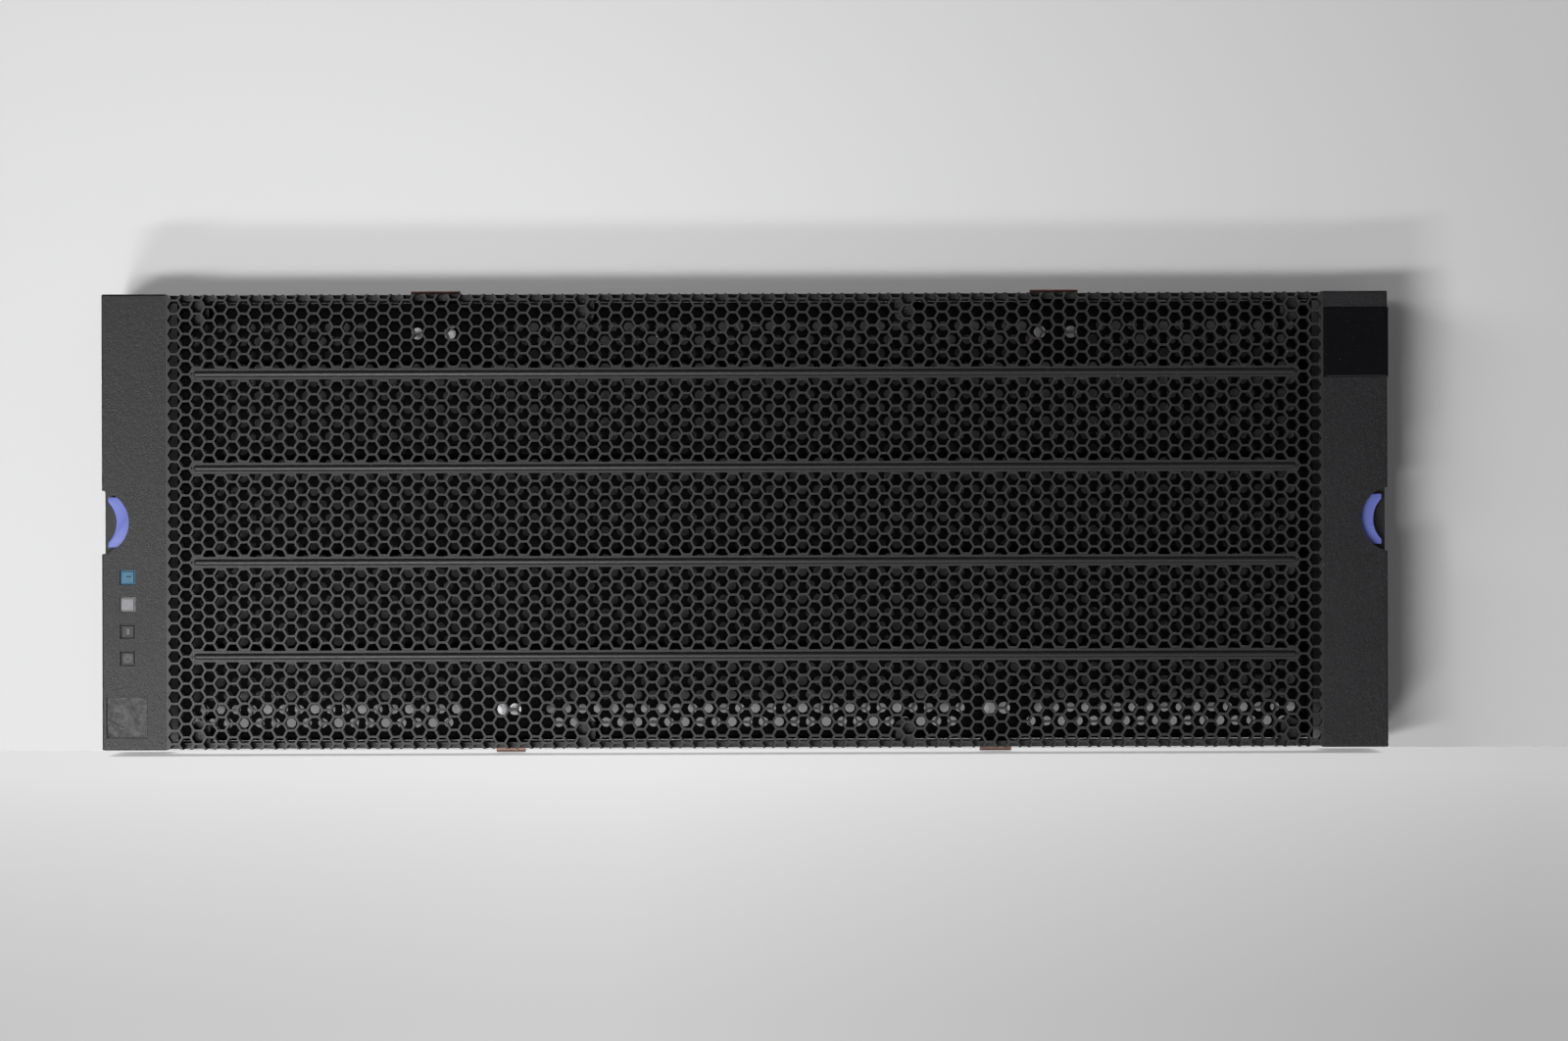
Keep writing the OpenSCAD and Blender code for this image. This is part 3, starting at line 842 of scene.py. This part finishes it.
height = window("identify_window", "identify_lens", lens_blue, "lens_blue")
bar_mark("identify_sign", WINDOW_X + 0.3, height + 0.3, 1.7, 0.45, print_dark, "lens_blue")
window("fault_window", "fault_lens", lens_white, "lens_white")
height = window("activity_window", "activity_lens", lens_smoke, "lens_smoke")
bar_mark("activity_sign", WINDOW_X + 0.1, height, 1.0, 2.2, print_pale, "lens_smoke")
height = window("power_window", "power_lens", lens_smoke, "lens_smoke")
ring_mark("power_sign", WINDOW_X, height, print_pale, "lens_smoke")


def creased_label():
    """Thin film in its recess, rippled by creases, with its lower left corner lifted"""
    low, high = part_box("blank_label")
    deselect()
    bpy.ops.mesh.primitive_grid_add(x_subdivisions=56, y_subdivisions=56, size=1,
                                    rotation=(math.pi / 2, 0, 0))
    piece = bpy.context.object
    settle(piece)
    side = high - low
    creases = ((0.2, 0.9, 0.9, -0.3, 0.10), (0.62, 0.5, 1.0, 0.75, 0.08),
               (0.35, 0.25, 0.5, 1.0, 0.06), (0.75, 0.2, -0.8, 0.6, 0.05))
    for v in piece.data.vertices:
        u, w = v.co.x + 0.5, v.co.z + 0.5
        lift = 0.03 * math.sin(9 * u + 2 * w) * math.sin(7 * w - u)
        for cu, cw, nu, nw, height in creases:
            length = math.hypot(nu, nw)
            away = ((u - cu) * nu + (w - cw) * nw) / length
            lift += height * math.exp(-(away / 0.03) ** 2) * (0.5 + 0.5 * math.sin(5 * (u + w)))
        corner = max(0.0, 0.24 - u - w) / 0.24
        lift += 0.30 * corner ** 1.5
        v.co = (low.x + u * side.x, low.y + 0.12 * MM - lift * MM, low.z + w * side.z)
    piece.data.update()
    if sum(p.normal.y for p in piece.data.polygons) > 0:
        piece.data.flip_normals()
    named("creased_label")
    thicken(piece, 0.08 * MM)
    smooth(piece, 60)
    return finish(piece, "bezel", "label_film", film, "blank_label")


creased_label()


# ---------------------------------------------------------------- latches

def latch(node, body):
    """The touch pad and its arm with softened edges"""
    piece = merged_copy(node, body + "_touch")
    bevelled(piece, 0.35, 3, 40)
    smooth(piece, 40)
    return finish(piece, body, "touch_blue", touch_plastic, node)


def coil(node, name):
    """Round wire spring between the block's inner wall and the latch arm"""
    low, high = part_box(node)
    middle = (low + high) / 2
    turns, wire = 5.0, 0.25 * MM
    deselect()
    bpy.ops.mesh.primitive_circle_add(vertices=10, radius=wire, rotation=(math.pi / 2, 0, 0),
                                      location=(0, 0, (high.z - low.z) / 2 - wire))
    piece = settle(bpy.context.object)
    run = high.x - low.x - 2 * wire
    add_modifier(piece, "SCREW", axis="X", angle=2 * math.pi * turns, screw_offset=run,
                 steps=int(24 * turns), render_steps=int(24 * turns), iterations=1,
                 use_smooth_shade=True)
    apply_all(piece)
    edit(piece)
    select_edges(piece, lambda c, e: e.is_boundary)
    bpy.ops.mesh.fill()
    select_all()
    bpy.ops.mesh.normals_make_consistent(inside=False)
    leave()
    piece.data.transform(Matrix.Translation(Vector((low.x + wire, middle.y, middle.z))))
    named(name)
    finish(piece, "bezel", "spring_steel", spring_steel, node)
    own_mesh(piece)


latch("left_latch", "left_latch")
latch("right_latch", "right_latch")
coil("left_latch_spring", "left_coil")
coil("right_latch_spring", "right_coil")


# ---------------------------------------------------------------- CAD nodes that stay

def dress(node, material):
    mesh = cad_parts[node].data
    mesh.materials.clear()
    mesh.materials.append(material)


dress("bezel_frame", panel_plastic)
dress("badge_plate", polished)
for name in ("light_pipe_carrier", "left_latch_cover", "right_latch_cover"):
    dress(name, inner_plastic)
for name in ("top_left_clip", "top_right_clip", "bottom_left_clip", "bottom_right_clip"):
    dress(name, clip_steel)
dress("clip_rivets", zinc)


# ---------------------------------------------------------------- stage, lamps and camera

def empty_material(name):
    """A material with only its output node; returns it with its tree and output"""
    material = bpy.data.materials.new(name)
    material.use_nodes = True
    material.node_tree.nodes.clear()
    return material, material.node_tree, put(material.node_tree, "OutputMaterial")


def ground_material():
    """Pale matt ground with a painted light falloff and a painted shadow where the bezel covers it;
    seen from behind it isn't there
    """
    material, tree, out = empty_material("pale ground")
    matt = put(tree, "BsdfDiffuse")
    clear = put(tree, "BsdfTransparent")
    choice = put(tree, "MixShader")
    place = put(tree, "TexCoord").outputs["Object"]
    middle = put(tree, "VectorMath", operation="DISTANCE")
    spot = put(tree, "SeparateXYZ")
    feed(tree, (place, middle.inputs[0]), ((-0.07, CAD_HIGH.y, 0.09), middle.inputs[1]),
         (place, spot.inputs["Vector"]))
    # painted light: the ground's colour is brightest near a spot a little left of the bezel's
    # middle and falls off away from it
    painted_light_falloff = spread(tree, middle.outputs["Value"], 0.1, 0.4, GROUND, 0.8 * GROUND)
    # painted shadow: inside the bezel's outline the ground's colour is dimmed to a set share
    beside = spread(tree, maths(tree, "ABSOLUTE", spot.outputs["X"], 0), 0.209, 0.213)
    below = spread(tree, spot.outputs["Z"], 0.022, 0.018)
    above = spread(tree, spot.outputs["Z"], 0.166, 0.169)
    outside_painted_shadow = maths(tree, "MAXIMUM", beside, maths(tree, "MAXIMUM", below, above))
    feed(tree, (maths(tree, "MULTIPLY", painted_light_falloff, spread(tree, outside_painted_shadow, 0, 1, COVERED_PAINTED_SHADE, 1)),
                matt.inputs["Color"]),
         (put(tree, "NewGeometry").outputs["Backfacing"], choice.inputs[0]),
         (matt.outputs["BSDF"], choice.inputs[1]), (clear.outputs["BSDF"], choice.inputs[2]),
         (choice.outputs["Shader"], out.inputs["Surface"]))
    return material


def backdrop():
    """The pale ground that the bezel's back lies against"""
    deselect()
    bpy.ops.mesh.primitive_plane_add(size=6, location=(0, CAD_HIGH.y + 0.2 * MM, 0),
                                     rotation=(math.pi / 2, 0, 0))
    wall = settle(named("backdrop"))
    wall.data.materials.append(ground_material())
    wall.visible_shadow = False


def floor_material():
    """Shows like the backdrop going on, with a painted light falloff and a painted contact shadow
    close to the bezel; lets the lamps through
    """
    material, tree, out = empty_material("pale floor")
    glow = put(tree, "Emission")
    clear = put(tree, "BsdfTransparent")
    choice = put(tree, "MixShader")
    path = put(tree, "LightPath")
    near = put(tree, "AmbientOcclusion", samples=8)
    near.inputs["Distance"].default_value = 0.05
    place = put(tree, "SeparateXYZ")
    feed(tree, (put(tree, "TexCoord").outputs["Object"], place.inputs["Vector"]))
    away = maths(tree, "SUBTRACT", place.outputs["Y"], CAMERA_Y)
    side = maths(tree, "DIVIDE", place.outputs["X"], maths(tree, "MAXIMUM", away, 0.2))
    # painted light: the glow is dimmer towards the camera and to the sides, most to the right
    level = maths(tree, "MULTIPLY", spread(tree, place.outputs["Y"], -0.67, -0.1, 0.61, 0.81),
                  maths(tree, "MULTIPLY", spread(tree, side, -0.03, 0.24, 1.0, 0.7),
                        spread(tree, side, -0.24, -0.06, 0.93, 1.0)))
    seen = maths(tree, "MAXIMUM", path.outputs["Is Camera Ray"],
                 maths(tree, "MAXIMUM", path.outputs["Is Glossy Ray"],
                       path.outputs["Is Transmission Ray"]))
    # painted contact shadow: the glow is dimmed by ambient occlusion close to the bezel
    shade = spread(tree, near.outputs["AO"], 0.0, 0.38, 0.45, 1.0)
    feed(tree, (maths(tree, "MULTIPLY", level, shade), glow.inputs["Strength"]),
         (seen, choice.inputs[0]), (clear.outputs["BSDF"], choice.inputs[1]),
         (glow.outputs["Emission"], choice.inputs[2]),
         (choice.outputs["Shader"], out.inputs["Surface"]))
    return material


def floor():
    deselect()
    bpy.ops.mesh.primitive_plane_add(size=6, location=(0, 0, CAD_LOW.z - 0.2 * MM))
    plane = settle(named("floor"))
    plane.data.materials.append(floor_material())
    plane.visible_shadow = False


def lamp(name, place, aim, width, height, power):
    """A soft box of the given size in metres and power in watts, turned towards aim"""
    light = bpy.data.lights.new(name, "AREA")
    light.shape = "RECTANGLE"
    light.size, light.size_y = width, height
    light.energy = power
    item = bpy.data.objects.new(name, light)
    bpy.context.scene.collection.objects.link(item)
    item.location = place
    item.rotation_euler = (Vector(aim) - Vector(place)).to_track_quat("-Z", "Y").to_euler()
    item.visible_camera = False
    return item


centre = at(0, 0, MID)
backdrop()
floor()
lamp("left key", centre + Vector((-0.84, -1.8, -0.46)), centre, 1.0, 0.2, 22.5)
lamp("low side", centre + Vector((-0.85, -1.7, -1.41)), centre, 0.75, 0.09, 14)
fill = lamp("side fill", centre + Vector((-2.2, -1.7, 0.6)), centre, 1.4, 0.9, 25)
fill.visible_glossy = False
lamp("back fill", centre + Vector((0.5, 1.6, 1.3)), centre, 1.4, 1.0, 28)


def room():
    """Soft room light; what is behind the bezel shows pale, what is in front of it dim"""
    world = bpy.context.scene.world or bpy.data.worlds.new("world")
    bpy.context.scene.world = world
    world.use_nodes = True
    sky = world.node_tree
    sky.nodes.clear()
    out = put(sky, "OutputWorld")
    soft = put(sky, "Background")
    shown = put(sky, "Background")
    path = put(sky, "LightPath")
    pick = put(sky, "MixShader")
    way = put(sky, "SeparateXYZ")
    feed(sky, (put(sky, "TexCoord").outputs["Generated"], way.inputs["Vector"]))
    mirrored = maths(sky, "MAXIMUM", path.outputs["Is Glossy Ray"],
                     path.outputs["Is Transmission Ray"])
    behind = spread(sky, way.outputs["Y"], -0.1, 0.3)
    seen = maths(sky, "MAXIMUM", path.outputs["Is Camera Ray"],
                 maths(sky, "MULTIPLY", mirrored, behind))
    ahead = spread(sky, way.outputs["Y"], -0.9, 0.3, 1.1 * ROOM, 0.6 * ROOM)
    level = maths(sky, "MULTIPLY", ahead, spread(sky, mirrored, 0, 1, 1, 0.3))
    feed(sky, ((0.8, 0.8, 0.82, 1), soft.inputs["Color"]), (level, soft.inputs["Strength"]),
         ((0.68, 0.68, 0.69, 1), shown.inputs["Color"]), (1.0, shown.inputs["Strength"]),
         (seen, pick.inputs[0]), (soft.outputs[0], pick.inputs[1]),
         (shown.outputs[0], pick.inputs[2]), (pick.outputs[0], out.inputs["Surface"]))


room()
camera_data = bpy.data.cameras.new("camera")
camera_data.sensor_width = 36
camera_data.lens = 76.5
camera_data.clip_end = 20
camera = bpy.data.objects.new("camera", camera_data)
bpy.context.scene.collection.objects.link(camera)
camera.location = (CAMERA_X, CAMERA_Y, CAMERA_Z)
camera.rotation_euler = (math.pi / 2, math.radians(CAMERA_ROLL), 0)
bpy.context.scene.camera = camera
bpy.context.scene.view_settings.view_transform = "Standard"
